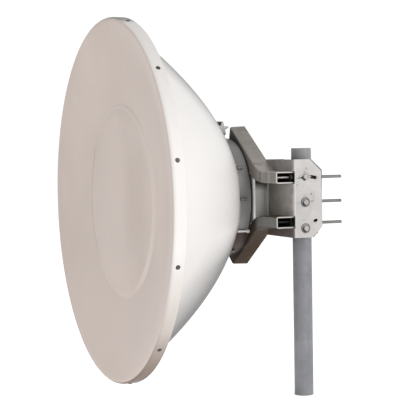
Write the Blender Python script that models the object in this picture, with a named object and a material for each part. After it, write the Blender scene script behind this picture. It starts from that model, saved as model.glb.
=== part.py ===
"""Parabolic dish antenna clamped to a steel post, seen from behind and to one side.

The origin is the centre of the post's bottom face. The dish looks along -Y.
All sizes are in metres.
"""
import math

import bmesh
import bpy
from mathutils import Vector

# Driving dimensions
DISH_RADIUS = 0.600
DISH_X = -0.293
AXIS_Z = 0.640
SKIRT_END_Y = -0.5245
FOUR_FOCAL = 0.790
VERTEX_Y = -0.1255
SHELL_THICKNESS = 0.003
CENTRE_PLATE_Y = -0.1503
FLANGE_Y = -0.527
DRUM_RADIUS = 0.200
DRUM_WALL = 0.004
DRUM_END_Y = -0.1378
RING_FRONT_Y = -0.1342
RING_BACK_Y = -0.1313
RING_OUTER = 0.1995
RING_INNER = 0.165
ARM_FRONT_Y = -0.1310
ARM_BACK_Y = -0.0753
ARM_WIDTH = 0.037
SHEET = 0.004
FOLD = 0.0055
BRACKET_FRONT_Y = -0.075
BRACKET_BACK_Y = 0.026
BRACKET_NEAR = 0.093
BRACKET_FAR = 0.112
BRACKET_SHEET = 0.0045
BRACKET_FOLD = 0.008
BRACKET_LOW = 0.519
BRACKET_HIGH = 0.768
PIVOT_Y = -0.034
PIVOT_Z = 0.549
MIDDLE_BOLT_Z = 0.632
UPPER_BOLT_Z = 0.7135
BOLT_RADIUS = 0.005
WASHER_RADIUS = 0.0158
POLE_RADIUS = 0.0310
POLE_WALL = 0.003
POLE_TOP = 0.7993
CAP_RADIUS = 0.0323
CAP_TOP = 0.8038
ROD_X = 0.050
ROD_LEVELS = {"top": 0.7105, "middle": 0.6320, "bottom": 0.5630}
ROD_END_Y = {"near": 0.117, "far": 0.083}
SADDLE_Y = 0.0132
CRADLE_HALF = 0.081
CRADLE_FLANGE = 0.010
GAP = 0.0003
ROUND = 64

for old in list(bpy.data.objects):
    bpy.data.objects.remove(old, do_unlink=True)


def material(name, colour, metallic, roughness):
    mat = bpy.data.materials.new(name)
    mat.use_nodes = True
    shader = mat.node_tree.nodes["Principled BSDF"]
    shader.inputs["Base Color"].default_value = (*colour, 1.0)
    shader.inputs["Metallic"].default_value = metallic
    shader.inputs["Roughness"].default_value = roughness
    return mat


RADOME = material("radome_plastic", (0.58, 0.50, 0.45), 0.0, 0.55)
WHITE_PAINT = material("white_paint", (0.78, 0.77, 0.75), 0.0, 0.40)
GALVANISED = material("galvanised_steel", (0.52, 0.51, 0.50), 0.7, 0.40)
DRUM_METAL = material("drum_aluminium", (0.30, 0.30, 0.30), 0.8, 0.42)
ZINC = material("zinc_steel", (0.42, 0.42, 0.41), 0.8, 0.45)
BRIGHT = material("bright_fastener", (0.62, 0.62, 0.60), 0.9, 0.32)
CAP_PLASTIC = material("cap_plastic", (0.20, 0.20, 0.20), 0.0, 0.55)


def finish(name, bm, mat, smooth=False):
    """Turn a bmesh into a named object with outward faces."""
    bmesh.ops.remove_doubles(bm, verts=bm.verts, dist=0.00001)
    bmesh.ops.recalc_face_normals(bm, faces=bm.faces)
    mesh = bpy.data.meshes.new(name)
    bm.to_mesh(mesh)
    bm.free()
    mesh.materials.append(mat)
    obj = bpy.data.objects.new(name, mesh)
    bpy.context.collection.objects.link(obj)
    if smooth:
        mesh.shade_smooth()
        mesh.set_sharp_from_angle(angle=math.radians(35))
    return obj


def to_axis(axis, along, u, v):
    """Coordinates of a point given along an axis and across it."""
    if axis == "X":
        return (along, u, v)
    if axis == "Y":
        return (u, along, v)
    return (u, v, along)


def prism(name, outline, axis, low, high, mat, smooth=False):
    """Extrude a flat outline along an axis."""
    bm = bmesh.new()
    near = [bm.verts.new(to_axis(axis, low, u, v)) for u, v in outline]
    far = [bm.verts.new(to_axis(axis, high, u, v)) for u, v in outline]
    bm.faces.new(near)
    bm.faces.new(far)
    for i in range(len(outline)):
        j = (i + 1) % len(outline)
        bm.faces.new((near[i], near[j], far[j], far[i]))
    return finish(name, bm, mat, smooth)


def ring_radius(shape, radius, angle):
    """Radius of a round or hexagonal section at an angle."""
    if shape == "hex":
        return radius / math.cos((angle + math.pi / 6) % (math.pi / 3) - math.pi / 6)
    return radius


def turned(name, profile, axis, count, mat, closed=False):
    """Sweep (radius, along) or (radius, along, shape) points round an axis."""
    bm = bmesh.new()
    rings = []
    for point in profile:
        radius, along = point[0], point[1]
        shape = point[2] if len(point) > 2 else "round"
        if radius == 0:
            rings.append([bm.verts.new(to_axis(axis, along, 0, 0))])
            continue
        ring = []
        for i in range(count):
            angle = 2 * math.pi * i / count
            r = ring_radius(shape, radius, angle)
            ring.append(bm.verts.new(to_axis(axis, along, r * math.cos(angle), r * math.sin(angle))))
        rings.append(ring)
    pairs = list(zip(rings, rings[1:]))
    if closed:
        pairs.append((rings[-1], rings[0]))
    for first, second in pairs:
        for i in range(count):
            j = (i + 1) % count
            if len(first) == 1 and len(second) == 1:
                continue
            if len(first) == 1:
                bm.faces.new((first[0], second[i], second[j]))
            elif len(second) == 1:
                bm.faces.new((first[i], first[j], second[0]))
            else:
                bm.faces.new((first[i], first[j], second[j], second[i]))
    return finish(name, bm, mat, True)


def cut(obj, cutters, operation="DIFFERENCE"):
    """Apply exact booleans and remove the tools."""
    for tool in cutters:
        tool.display_type = "WIRE"
        tool.hide_render = True
        mod = obj.modifiers.new(tool.name, "BOOLEAN")
        mod.operation = operation
        mod.solver = "EXACT"
        mod.object = tool
        bpy.context.view_layer.update()
        graph = bpy.context.evaluated_depsgraph_get()
        mesh = bpy.data.meshes.new_from_object(obj.evaluated_get(graph))
        obj.modifiers.clear()
        obj.data = mesh
        bpy.data.objects.remove(tool, do_unlink=True)
    return obj


def box(name, low, high, mat):
    outline = [(low[0], low[1]), (high[0], low[1]), (high[0], high[1]), (low[0], high[1])]
    return prism(name, outline, "Z", low[2], high[2], mat)


def rod_cutter(axis, u, v, low, high, radius):
    """A round cutter along an axis."""
    outline = []
    for i in range(16):
        angle = 2 * math.pi * (i + 0.5) / 16
        outline.append((u + radius * math.cos(angle), v + radius * math.sin(angle)))
    return prism("cutter", outline, axis, low, high, ZINC)


def slot_outline(radius, middle, half_angle, half_width):
    """Arc slot about the elevation pivot, in Y and Z."""
    points = []
    for side in (1, -1):
        for i in range(5):
            a = middle + side * half_angle * (2 * i / 4 - 1)
            r = radius + side * half_width
            points.append((PIVOT_Y + r * math.sin(a), PIVOT_Z + r * math.cos(a)))
        end = middle + side * half_angle
        centre = (PIVOT_Y + radius * math.sin(end), PIVOT_Z + radius * math.cos(end))
        for k in range(1, 6):
            turn = math.pi / 2 - math.pi * k / 6
            out = half_width * math.cos(turn)
            up = half_width * math.sin(turn) * side
            along = side * out
            points.append((centre[0] + along * math.cos(end) + up * math.sin(end),
                           centre[1] - along * math.sin(end) + up * math.cos(end)))
    return points


def empty(name, place, parent=None):
    obj = bpy.data.objects.new(name, None)
    obj.empty_display_size = 0.05
    bpy.context.collection.objects.link(obj)
    obj["world_place"] = place
    hold(obj, parent, place)
    return obj


def hold(obj, parent, place):
    """Put an object at a world place under its parent."""
    base = Vector((0, 0, 0))
    if parent is not None:
        obj.parent = parent
        base = Vector(parent["world_place"])
    obj.location = Vector(place) - base


clamp_turn = empty("clamp_turn", (0, 0, AXIS_Z))
elevation_pivot = empty("elevation_pivot", (0, PIVOT_Y, PIVOT_Z), clamp_turn)


def dish_piece(obj, place=(0, 0, 0)):
    hold(obj, elevation_pivot, place)
    return obj


def clamp_piece(obj, place=(0, 0, 0)):
    hold(obj, clamp_turn, place)
    return obj


# Post and its cap
pole = turned("pole", [
    (0, 0), (POLE_RADIUS, 0), (POLE_RADIUS, POLE_TOP), (POLE_RADIUS - POLE_WALL, POLE_TOP),
    (POLE_RADIUS - POLE_WALL, 0.005), (0, 0.005)], "Z", 48, ZINC)
pole_cap = turned("pole_cap", [
    (0, POLE_TOP + GAP), (POLE_RADIUS + GAP, POLE_TOP + GAP), (POLE_RADIUS + GAP, 0.766),
    (CAP_RADIUS, 0.766), (CAP_RADIUS, CAP_TOP - 0.0020), (CAP_RADIUS - 0.0016, CAP_TOP - 0.0002),
    (0, CAP_TOP)], "Z", 48, CAP_PLASTIC)

# Radome over the dish mouth
dish_axis = (DISH_X, 0, AXIS_Z)
dish_piece(turned("radome", [
    (0, -0.5150), (0.3090, -0.5215), (0.3200, -0.5155), (0.5780, -0.5640), (0.5880, -0.5652),
    (0.5945, -0.5635), (0.5985, -0.5600), (DISH_RADIUS, -0.5550), (DISH_RADIUS, SKIRT_END_Y),
    (0.5960, SKIRT_END_Y), (0.5960, -0.5560), (0.5870, -0.5610), (0.5787, -0.5600),
    (0.3195, -0.5113), (0.3082, -0.5174), (0, -0.5110)],
    "Y", ROUND, RADOME), dish_axis)


def shell_y(radius):
    return VERTEX_Y - radius * radius / FOUR_FOCAL


shell_radii = [0.140, 0.168, 0.196, 0.200, 0.240, 0.290, 0.340, 0.390, 0.440, 0.490, 0.530, 0.5624]
back_face = [(r, shell_y(r)) for r in shell_radii]
front_face = []
for r in shell_radii:
    slope = 2 * r / FOUR_FOCAL
    length = math.hypot(1, slope)
    front_face.append((r - SHELL_THICKNESS * slope / length, shell_y(r) - SHELL_THICKNESS / length))
loop = [(0.020, CENTRE_PLATE_Y)] + back_face
loop += [(0.5624, -0.5300), (0.5612, -0.5300)]
loop += list(reversed(front_face))
loop += [(0.020, CENTRE_PLATE_Y - SHELL_THICKNESS)]
dish_piece(turned("reflector", loop, "Y", ROUND, WHITE_PAINT, closed=True), dish_axis)
dish_piece(turned("rim_flange", [
    (0.5627, FLANGE_Y), (0.5957, FLANGE_Y), (0.5957, -0.5520), (0.5927, -0.5520),
    (0.5927, -0.5300), (0.5627, -0.5300)], "Y", ROUND, WHITE_PAINT, closed=True), dish_axis)

# Feed inside the dish
dish_piece(turned("feed_horn", [
    (0, CENTRE_PLATE_Y - GAP), (0.011, CENTRE_PLATE_Y - GAP), (0.011, -0.290), (0.045, -0.318), (0.045, -0.326),
    (0, -0.326)], "Y", 32, BRIGHT), dish_axis)
dish_piece(turned("feed_hub", [
    (0, CENTRE_PLATE_Y + GAP), (0.078, CENTRE_PLATE_Y + GAP), (0.078, -0.1400), (0.062, -0.1377),
    (0, -0.1377)], "Y", 48, WHITE_PAINT), dish_axis)

# Drum and ring behind the dish
inner = DRUM_RADIUS - DRUM_WALL
dish_piece(turned("back_drum", [
    (inner, shell_y(inner) + GAP), (DRUM_RADIUS, shell_y(DRUM_RADIUS) + GAP),
    (DRUM_RADIUS, DRUM_END_Y), (inner, DRUM_END_Y)], "Y", ROUND, DRUM_METAL, closed=True), dish_axis)
dish_piece(turned("drum_gasket", [
    (inner, DRUM_END_Y + GAP), (DRUM_RADIUS - 0.0010, DRUM_END_Y + GAP),
    (DRUM_RADIUS - 0.0010, RING_FRONT_Y - GAP), (inner, RING_FRONT_Y - GAP)],
    "Y", ROUND, CAP_PLASTIC, closed=True), dish_axis)
dish_piece(turned("mounting_ring", [
    (RING_INNER, RING_FRONT_Y), (RING_OUTER, RING_FRONT_Y), (RING_OUTER, RING_BACK_Y),
    (RING_INNER, RING_BACK_Y)], "Y", ROUND, BRIGHT, closed=True), dish_axis)

# Two bent channel arms that carry the ring. Each edge is a line of (x, level) points that runs
# out from the bracket, round the bend and along the slanted part.
ARM_START_X = 0.083
ARM_LEVEL = 0.0710
ARM_ENDS = {"upper_arm": (-0.2708, 0.2384), "lower_arm": (-0.2655, 0.2272)}
ARM_SLOPED_WIDTH = 0.049
ARM_END_SLIP = {"upper_arm": 0.0180, "lower_arm": -0.0166}
ARM_END_LEAN = {"upper_arm": 0.08, "lower_arm": 0.06}
OUTER_RISE = {"upper_arm": 1.0, "lower_arm": 0.8}
OUTER_BEND = [(-0.0250, 0), (-0.0400, 0.0026), (-0.0560, 0.0085), (-0.0750, 0.0170)]
INNER_BEND = [(-0.0250, 0), (-0.0480, 0.0026), (-0.0700, 0.0068), (-0.0920, 0.0150)]
TONGUE_BACK_Y = -0.0695
NOTCH_X = 0.066


def arm_edges(name):
    """Inner and outer edge of an arm, with a slanting cut at its end."""
    outer_level = ARM_LEVEL + ARM_WIDTH / 2
    inner_level = ARM_LEVEL - ARM_WIDTH / 2
    rise = OUTER_RISE[name]
    outer = [(ARM_START_X, outer_level)] + [(x, outer_level + rise * up) for x, up in OUTER_BEND]
    inner = [(ARM_START_X, inner_level)] + [(x, inner_level + up) for x, up in INNER_BEND]
    corner = Vector(ARM_ENDS[name])
    along = (corner - Vector(outer[-1])).normalized()
    across = Vector((-along.y, along.x)) * ARM_SLOPED_WIDTH
    outer.append(tuple(corner))
    inner.append(tuple(corner + across - along * ARM_END_SLIP[name]))
    return inner, outer


def set_off(edge, distance):
    """Shift a line of points sideways, with mitred corners and a square end."""
    points = [Vector(p) for p in edge]
    normals = []
    for a, b in zip(points, points[1:]):
        along = (b - a).normalized()
        normals.append(Vector((-along.y, along.x)))
    moved = [points[0] + normals[0] * distance]
    for before, after, point in zip(normals, normals[1:], points[1:]):
        moved.append(point + (before + after) * distance / (1 + before.dot(after)))
    moved.append(points[-1] + normals[-1] * distance)
    return moved


def fold(centre_u, centre_v, radius, start, end, steps):
    """Points round a folded corner, angles in degrees."""
    points = []
    for i in range(steps + 1):
        a = math.radians(start + (end - start) * i / steps)
        points.append((centre_u + radius * math.cos(a), centre_v + radius * math.sin(a)))
    return points


def swept_channel(name, side, mat):
    """Folded channel between the two edges of an arm."""
    front = ARM_FRONT_Y + FOLD
    # half of the section: distance in from an edge, and y
    flange = [(0, ARM_BACK_Y)] + fold(FOLD, front, FOLD, 180, 270, 3)
    flange_inside = fold(FOLD, front, FOLD - SHEET, 270, 180, 2) + [(SHEET, ARM_BACK_Y)]
    inner, outer = arm_edges(name)
    corner = Vector(outer[-1])
    end_line = Vector(inner[-1]) - corner
    square = Vector((-end_line.y, end_line.x)).normalized()
    pace = (corner - Vector(outer[-2])).normalized().dot(square)
    sections = [[] for _ in inner]
    for edge, into, points in ((inner, -1, flange), (outer, 1, list(reversed(flange))),
                               (outer, 1, list(reversed(flange_inside))), (inner, -1, flange_inside)):
        along = (Vector(edge[-1]) - Vector(edge[-2])).normalized()
        for distance, y in points:
            places = set_off(edge, into * distance)
            lean = ARM_END_LEAN[name] * (y - ARM_FRONT_Y) * pace
            places[-1] += along * (lean - (places[-1] - corner).dot(square)) / along.dot(square)
            for section, place in zip(sections, places):
                section.append((place.x, y, AXIS_Z + side * place.y))
    bm = bmesh.new()
    rings = [[bm.verts.new(place) for place in section] for section in sections]
    bm.faces.new(rings[0])
    bm.faces.new(rings[-1])
    for first, second in zip(rings, rings[1:]):
        for i in range(len(first)):
            j = (i + 1) % len(first)
            bm.faces.new((first[i], first[j], second[j], second[i]))
    return finish(name, bm, mat)


for name, side in (("upper_arm", 1), ("lower_arm", -1)):
    # tongues carry the flanges on into the bracket's notch
    tongues = []
    for edge in (ARM_WIDTH / 2 - SHEET, -ARM_WIDTH / 2):
        level = AXIS_Z + side * ARM_LEVEL + edge
        tongues.append(box("cutter", (NOTCH_X + 0.0008, ARM_BACK_Y - 0.002, level + 0.0002),
                           (ARM_START_X - 0.0002, TONGUE_BACK_Y, level + SHEET - 0.0002), GALVANISED))
    dish_piece(cut(swept_channel(name, side, GALVANISED), tongues, "UNION"))

# Upright channel between the arms, open towards the post
WEB_FAR_X = -0.118
WEB_FRONT_FLANGE_X = -0.083
WEB_REAR_FLANGE_X = -0.090


def web_level(x):
    """Height of the arms' inner edge, less a small gap."""
    edge = arm_edges("lower_arm")[0]
    for (x1, z1), (x2, z2) in zip(edge, edge[1:]):
        if x2 <= x <= x1:
            return z1 + (z2 - z1) * (x - x1) / (x2 - x1) - 0.0005


web_steps = (WEB_FAR_X, INNER_BEND[-1][0], WEB_FRONT_FLANGE_X)
web_outline = [(x, AXIS_Z - web_level(x)) for x in web_steps]
web_outline += [(x, AXIS_Z + web_level(x)) for x in reversed(web_steps)]
arm_web = prism("arm_web", web_outline, "Y", ARM_FRONT_Y, ARM_BACK_Y, GALVANISED)
dish_piece(cut(arm_web, [
    box("cutter", (WEB_FAR_X + SHEET, ARM_FRONT_Y + SHEET, AXIS_Z - 0.1),
        (0, ARM_BACK_Y - SHEET, AXIS_Z + 0.1), GALVANISED),
    box("cutter", (WEB_REAR_FLANGE_X, ARM_BACK_Y - SHEET - 0.001, AXIS_Z - 0.1),
        (0, 0, AXIS_Z + 0.1), GALVANISED)]))

# Folded bracket that swings on the two lowest side bolts
outside = BRACKET_NEAR
inside = BRACKET_NEAR - BRACKET_SHEET
far_outside = BRACKET_FAR
far_inside = BRACKET_FAR - BRACKET_SHEET
back_inner = BRACKET_FRONT_Y + BRACKET_SHEET
bend = BRACKET_FRONT_Y + BRACKET_FOLD
NOTCH_BACK_Y = -0.0690
NOTCH_HALF = 0.0198
plan = [(-far_outside, BRACKET_BACK_Y)]
plan += fold(-far_outside + BRACKET_FOLD, bend, BRACKET_FOLD, 180, 270, 4)
plan += fold(outside - BRACKET_FOLD, bend, BRACKET_FOLD, 270, 360, 4)
plan += [(outside, BRACKET_BACK_Y), (inside, BRACKET_BACK_Y)]
plan += fold(outside - BRACKET_FOLD, bend, BRACKET_FOLD - BRACKET_SHEET, 360, 270, 3)
plan += fold(-far_outside + BRACKET_FOLD, bend, BRACKET_FOLD - BRACKET_SHEET, 270, 180, 3)
plan += [(-far_inside, BRACKET_BACK_Y)]
bracket = prism("mast_bracket", plan, "Z", BRACKET_LOW, BRACKET_HIGH, GALVANISED)
tools = []
for z_edge, y_cut, z_cut in ((BRACKET_HIGH, -0.0115, 0.7335), (BRACKET_LOW, -0.0047, 0.5540)):
    tools.append(prism("cutter", [(y_cut, z_edge), (BRACKET_BACK_Y, z_cut), (0.06, z_cut),
                                  (0.06, 2 * z_edge - z_cut), (y_cut, 2 * z_edge - z_cut)],
                       "X", -0.15, 0.15, ZINC))
for side in (1, -1):
    level = AXIS_Z + side * ARM_LEVEL
    tools.append(box("cutter", (NOTCH_X, -0.09, level - NOTCH_HALF),
                     (0.15, NOTCH_BACK_Y, level + NOTCH_HALF), ZINC))
tools.append(prism("cutter", slot_outline(UPPER_BOLT_Z - PIVOT_Z, math.radians(4.4), math.radians(8.5), 0.0056),
                   "X", -0.15, 0.15, ZINC))
tools.append(prism("cutter", slot_outline(MIDDLE_BOLT_Z - PIVOT_Z, 0, math.radians(5.2), 0.0056),
                   "X", -0.15, 0.15, ZINC))
tools.append(rod_cutter("X", PIVOT_Y, PIVOT_Z, -0.15, 0.15, 0.0053))
oval = []
for i in range(16):
    a = 2 * math.pi * i / 16
    u, v = 0.0082 * math.cos(a), 0.0050 * math.sin(a)
    oval.append((0.0020 + u * 0.94 - v * 0.34, 0.5727 + u * 0.34 + v * 0.94))
tools.append(prism("cutter", oval, "X", -0.15, 0.15, ZINC))
for x in (0.0555, -0.030):
    for side in (1, -1):
        tools.append(rod_cutter("Y", x, AXIS_Z + side * ARM_LEVEL, -0.09, -0.06, 0.0045))
dish_piece(cut(bracket, tools))

# Screws that hold the arms on the bracket
for name, x, side in (("arm_screw_upper_near", 0.0555, 1), ("arm_screw_lower_near", 0.0555, -1),
                      ("arm_screw_upper_far", -0.030, 1), ("arm_screw_lower_far", -0.030, -1)):
    dish_piece(turned(name, [
        (0, ARM_FRONT_Y + SHEET + GAP), (0.0065, ARM_FRONT_Y + SHEET + GAP, "hex"), (0.0065, -0.1215, "hex"),
        (0.004, -0.1215), (0.004, back_inner + GAP), (0.0065, back_inner + GAP, "hex"),
        (0.0065, -0.0630, "hex"), (0, -0.0630)], "Y", 24, BRIGHT), (x, 0, AXIS_Z + side * ARM_LEVEL))

# Knob on the drum, on a bracket that follows the back of the dish
KNOB_CENTRE = (-0.151, 0.8735)
KNOB_RADIUS = 0.0250
KNOB_INNER = 0.0140
BRACKET_FOOT_Z = 0.84030
knob_bracket = prism("knob_bracket", [
    (-0.1390, BRACKET_FOOT_Z), (-0.1390, 0.8520), (-0.1450, 0.8600), (-0.1450, 0.8980), (-0.1820, 0.8980),
    (-0.1820, 0.8530), (-0.1710, BRACKET_FOOT_Z)], "X", -0.3035, -0.3000, CAP_PLASTIC)
foot = prism("cutter", [(-0.1630, BRACKET_FOOT_Z), (-0.1390, BRACKET_FOOT_Z), (-0.1390, 0.8440),
                        (-0.1630, 0.8440)], "X", -0.3130, -0.3010, CAP_PLASTIC)
dish_piece(cut(knob_bracket, [foot], "UNION"))
star = []
for i in range(10):
    a = 2 * math.pi * i / 10 + math.radians(85)
    r = KNOB_RADIUS if i % 2 == 0 else KNOB_INNER
    star.append((KNOB_CENTRE[0] + r * math.cos(a), KNOB_CENTRE[1] + r * math.sin(a)))
dish_piece(prism("star_knob", star, "X", -0.2997, -0.2887, BRIGHT))

# Cradle against the front of the post
web_back = -POLE_RADIUS - 0.00035
web_front = web_back - 0.005
half = CRADLE_HALF
deep = CRADLE_HALF - CRADLE_FLANGE
cradle = prism("pole_cradle", [
    (-half, 0.016), (-half, web_front + 0.004), (-half + 0.004, web_front), (half - 0.004, web_front),
    (half, web_front + 0.004), (half, 0.016), (deep, 0.016), (deep, web_back), (-deep, web_back),
    (-deep, 0.016)], "Z", 0.530, 0.745, ZINC)
BOLT_LEVELS = {"pivot": PIVOT_Z, "middle": MIDDLE_BOLT_Z, "upper": UPPER_BOLT_Z}
SIDES = {"near": (1, inside, outside), "far": (-1, far_inside, far_outside)}
bosses = []
tools = []
for side, boss_end, _ in SIDES.values():
    for z in BOLT_LEVELS.values():
        ends = sorted((side * (half - 0.001), side * (boss_end - 0.0004)))
        circle = []
        for i in range(24):
            a = 2 * math.pi * i / 24
            circle.append((PIVOT_Y + 0.0134 * math.cos(a), z + 0.0134 * math.sin(a)))
        bosses.append(prism("cutter", circle, "X", ends[0], ends[1], ZINC))
        ends = sorted((side * 0.0735, side * 0.13))
        tools.append(rod_cutter("X", PIVOT_Y, z, ends[0], ends[1], 0.0053))
for x in (ROD_X, -ROD_X):
    for z in ROD_LEVELS.values():
        tools.append(rod_cutter("Y", x, z, -0.06, 0.0, 0.0053))
cut(cradle, bosses, "UNION")
clamp_piece(cut(cradle, tools))

# V blocks behind the post
saddle_half = [(0.0056, 0.0255), (0.0311, 0), (0.064, 0), (0.064, 0.005), (0.0332, 0.005), (0.0077, 0.0305)]
saddle_plan = [(x, SADDLE_Y + y) for x, y in saddle_half]
saddle_plan += [(-x, SADDLE_Y + y) for x, y in reversed(saddle_half)]
for level, z in ROD_LEVELS.items():
    saddle = prism("saddle_" + level, saddle_plan, "Z", z - 0.014, z + 0.014, ZINC)
    tools = [rod_cutter("Y", x, z, 0.0, 0.03, 0.0053) for x in (ROD_X, -ROD_X)]
    clamp_piece(cut(saddle, tools))

# Clamp rods with their nuts
nut_y = SADDLE_Y + 0.005 + GAP
for level, z in ROD_LEVELS.items():
    for hand, x in (("near", ROD_X), ("far", -ROD_X)):
        end = ROD_END_Y[hand]
        clamp_piece(turned("clamp_rod_" + level + "_" + hand, [
            (0, web_front - 0.0075), (0.008, web_front - 0.0075, "hex"), (0.008, web_front - GAP, "hex"),
            (BOLT_RADIUS, web_front - GAP), (BOLT_RADIUS, end - 0.001), (0.0042, end),
            (0, end)], "Y", 24, BRIGHT), (x, 0, z))
        clamp_piece(turned("clamp_nut_" + level + "_" + hand, [
            (BOLT_RADIUS + GAP, nut_y), (0.008, nut_y, "hex"), (0.008, nut_y + 0.008, "hex"),
            (BOLT_RADIUS + GAP, nut_y + 0.008)], "Y", 24, BRIGHT, closed=True), (x, 0, z))

# Side bolts; the upper ones have a rhombic washer over the slot
for level, z in BOLT_LEVELS.items():
    for hand, (side, _, face) in SIDES.items():
        points = [(0, 0.0738), (BOLT_RADIUS, 0.0738), (BOLT_RADIUS, face + GAP),
                  (WASHER_RADIUS, face + GAP), (WASHER_RADIUS, face + 0.0028), (0.0080, face + 0.0028, "hex"),
                  (0.0080, face + 0.0092, "hex"), (0, face + 0.0092)]
        if side < 0:
            points = [(p[0], -p[1]) + tuple(p[2:]) for p in points]
        bolt = turned(level + "_bolt_" + hand, points, "X", 24, BRIGHT)
        if level == "upper":
            ends = sorted((side * (face + GAP), side * (face + 0.0028)))
            rhombus = [(-0.0240, 0), (-0.0200, -0.0045), (0, -0.0165), (0.0200, -0.0045), (0.0240, 0),
                       (0.0200, 0.0045), (0, 0.0165), (-0.0200, 0.0045)]
            cut(bolt, [prism("cutter", rhombus, "X", ends[0], ends[1], BRIGHT)], "UNION")
        clamp_piece(bolt, (0, PIVOT_Y, z))
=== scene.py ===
import math

import bmesh
import bpy
from mathutils import Matrix, Vector


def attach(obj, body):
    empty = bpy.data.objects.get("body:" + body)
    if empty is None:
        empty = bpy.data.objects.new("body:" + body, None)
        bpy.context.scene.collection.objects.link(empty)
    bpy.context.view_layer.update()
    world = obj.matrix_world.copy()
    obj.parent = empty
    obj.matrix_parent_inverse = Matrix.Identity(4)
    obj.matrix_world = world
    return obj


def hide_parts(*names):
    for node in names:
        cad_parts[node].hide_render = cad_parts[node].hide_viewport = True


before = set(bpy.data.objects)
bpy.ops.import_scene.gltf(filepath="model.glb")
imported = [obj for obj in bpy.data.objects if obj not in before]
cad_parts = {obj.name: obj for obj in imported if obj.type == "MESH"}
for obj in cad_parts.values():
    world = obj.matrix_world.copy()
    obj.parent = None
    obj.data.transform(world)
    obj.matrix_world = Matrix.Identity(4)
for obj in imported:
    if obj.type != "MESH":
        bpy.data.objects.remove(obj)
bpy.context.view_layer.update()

# Sizes of the solids, in metres
DISH_X = -0.293
AXIS_Z = 0.640
FOUR_FOCAL = 0.790
VERTEX_Y = -0.1255
CENTRE_PLATE_Y = -0.1503
CENTRE_BORE = 0.020
CENTRE_RADIUS = 0.138
SHELL_START = 0.1405
SHELL_RIM = 0.5624
SHELL_END_Y = -0.5300
SHELL_THICKNESS = 0.003
RADOME_RADIUS = 0.600
SKIRT_END_Y = -0.5245
SKIRT_MIDDLE_Y = -0.545
DRUM_INNER = 0.196
DRUM_OUTER = 0.200
DRUM_END_Y = -0.1378
PIVOT_Y = -0.034
SIDE_FACE_X = {"near": 0.093, "far": 0.112}
BOLT_LEVELS = {"pivot": 0.549, "middle": 0.632, "upper": 0.7135}
BOLT_INNER_X = 0.0738
BOLT_RADIUS = 0.005
ROD_LEVELS = {"top": 0.7105, "middle": 0.6320, "bottom": 0.5630}
ROD_X = 0.050
ROD_END_Y = {"near": 0.117, "far": 0.083}
WEB_FRONT_Y = -0.03635
NUT_Y = 0.0185
NUT_HEIGHT = 0.008
ARM_LEVEL = 0.0710
ARM_SCREW_X = {"near": 0.0555, "far": -0.030}
POLE_RADIUS = 0.0310
POLE_WALL = 0.003
POLE_TOP = 0.7993
CAP_RADIUS = 0.0323
CAP_FOOT = 0.7660
CAP_TOP = 0.8038

# Gap between pieces that meet
CLEARANCE = 0.0003

# Fineness of round pieces
FINE = 192
SHELL_STEPS = 48
ROUND_POST = 96
ROUND_WASHER = 64
ROUND_RIM = 48
ROUND_BOLT = 24


def new_material(name):
    mat = bpy.data.materials.new(name)
    mat.use_nodes = True
    return mat, mat.node_tree


def coords(tree, scale=(1, 1, 1)):
    place = tree.nodes.new("ShaderNodeTexCoord")
    mapping = tree.nodes.new("ShaderNodeMapping")
    mapping.inputs["Scale"].default_value = scale
    tree.links.new(place.outputs["Object"], mapping.inputs["Vector"])
    return mapping.outputs["Vector"]


def noise(tree, vector, scale, detail):
    tex = tree.nodes.new("ShaderNodeTexNoise")
    tex.inputs["Scale"].default_value = scale
    tex.inputs["Detail"].default_value = detail
    tex.inputs["Roughness"].default_value = 0.55
    tree.links.new(vector, tex.inputs["Vector"])
    return tex.outputs["Fac"]


def spread(tree, value, low, high, start=0.0, end=1.0):
    """Map a value from the range start..end to the range low..high."""
    node = tree.nodes.new("ShaderNodeMapRange")
    node.inputs["From Min"].default_value = start
    node.inputs["From Max"].default_value = end
    node.inputs["To Min"].default_value = low
    node.inputs["To Max"].default_value = high
    tree.links.new(value, node.inputs["Value"])
    return node.outputs["Result"]


def above(tree, value, start, end, strength=1.0):
    """Zero up to start, then rising to the strength at end."""
    return spread(tree, value, 0.0, strength, start, end)


def below(tree, value, start, end, strength=1.0):
    """The strength up to start, then falling to zero at end."""
    return spread(tree, value, strength, 0.0, start, end)


def calculate(tree, operation, *values):
    node = tree.nodes.new("ShaderNodeMath")
    node.operation = operation
    for socket, value in zip(node.inputs, values):
        if isinstance(value, (int, float)):
            socket.default_value = value
        else:
            tree.links.new(value, socket)
    return node.outputs[0]


def product(tree, *values):
    result = values[0]
    for value in values[1:]:
        result = calculate(tree, "MULTIPLY", result, value)
    return result


def square_sum(tree, first, second):
    return calculate(tree, "ADD", product(tree, first, first), product(tree, second, second))


def distance_from(tree, value, centre):
    return calculate(tree, "ABSOLUTE", calculate(tree, "SUBTRACT", value, centre))


def band(tree, value, low, high, soft):
    """One between two values of a coordinate, zero outside."""
    rise = above(tree, value, low - soft, low + soft)
    fall = below(tree, value, high - soft, high + soft)
    return product(tree, rise, fall)


def blend(tree, factor, first, second, mode="MIX"):
    """The first colour where the factor is zero, the second where it is one."""
    node = tree.nodes.new("ShaderNodeMix")
    node.data_type = "RGBA"
    node.blend_type = mode
    for value, socket in ((factor, node.inputs[0]), (first, node.inputs[6]), (second, node.inputs[7])):
        if isinstance(value, (tuple, float, int)):
            socket.default_value = (*value, 1.0) if isinstance(value, tuple) else value
        else:
            tree.links.new(value, socket)
    return node.outputs[2]


def axes(tree, output="Object"):
    """The three coordinates of a point, or of its normal, as separate values."""
    place = tree.nodes.new("ShaderNodeTexCoord")
    split = tree.nodes.new("ShaderNodeSeparateXYZ")
    tree.links.new(place.outputs[output], split.inputs["Vector"])
    return split.outputs


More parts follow.
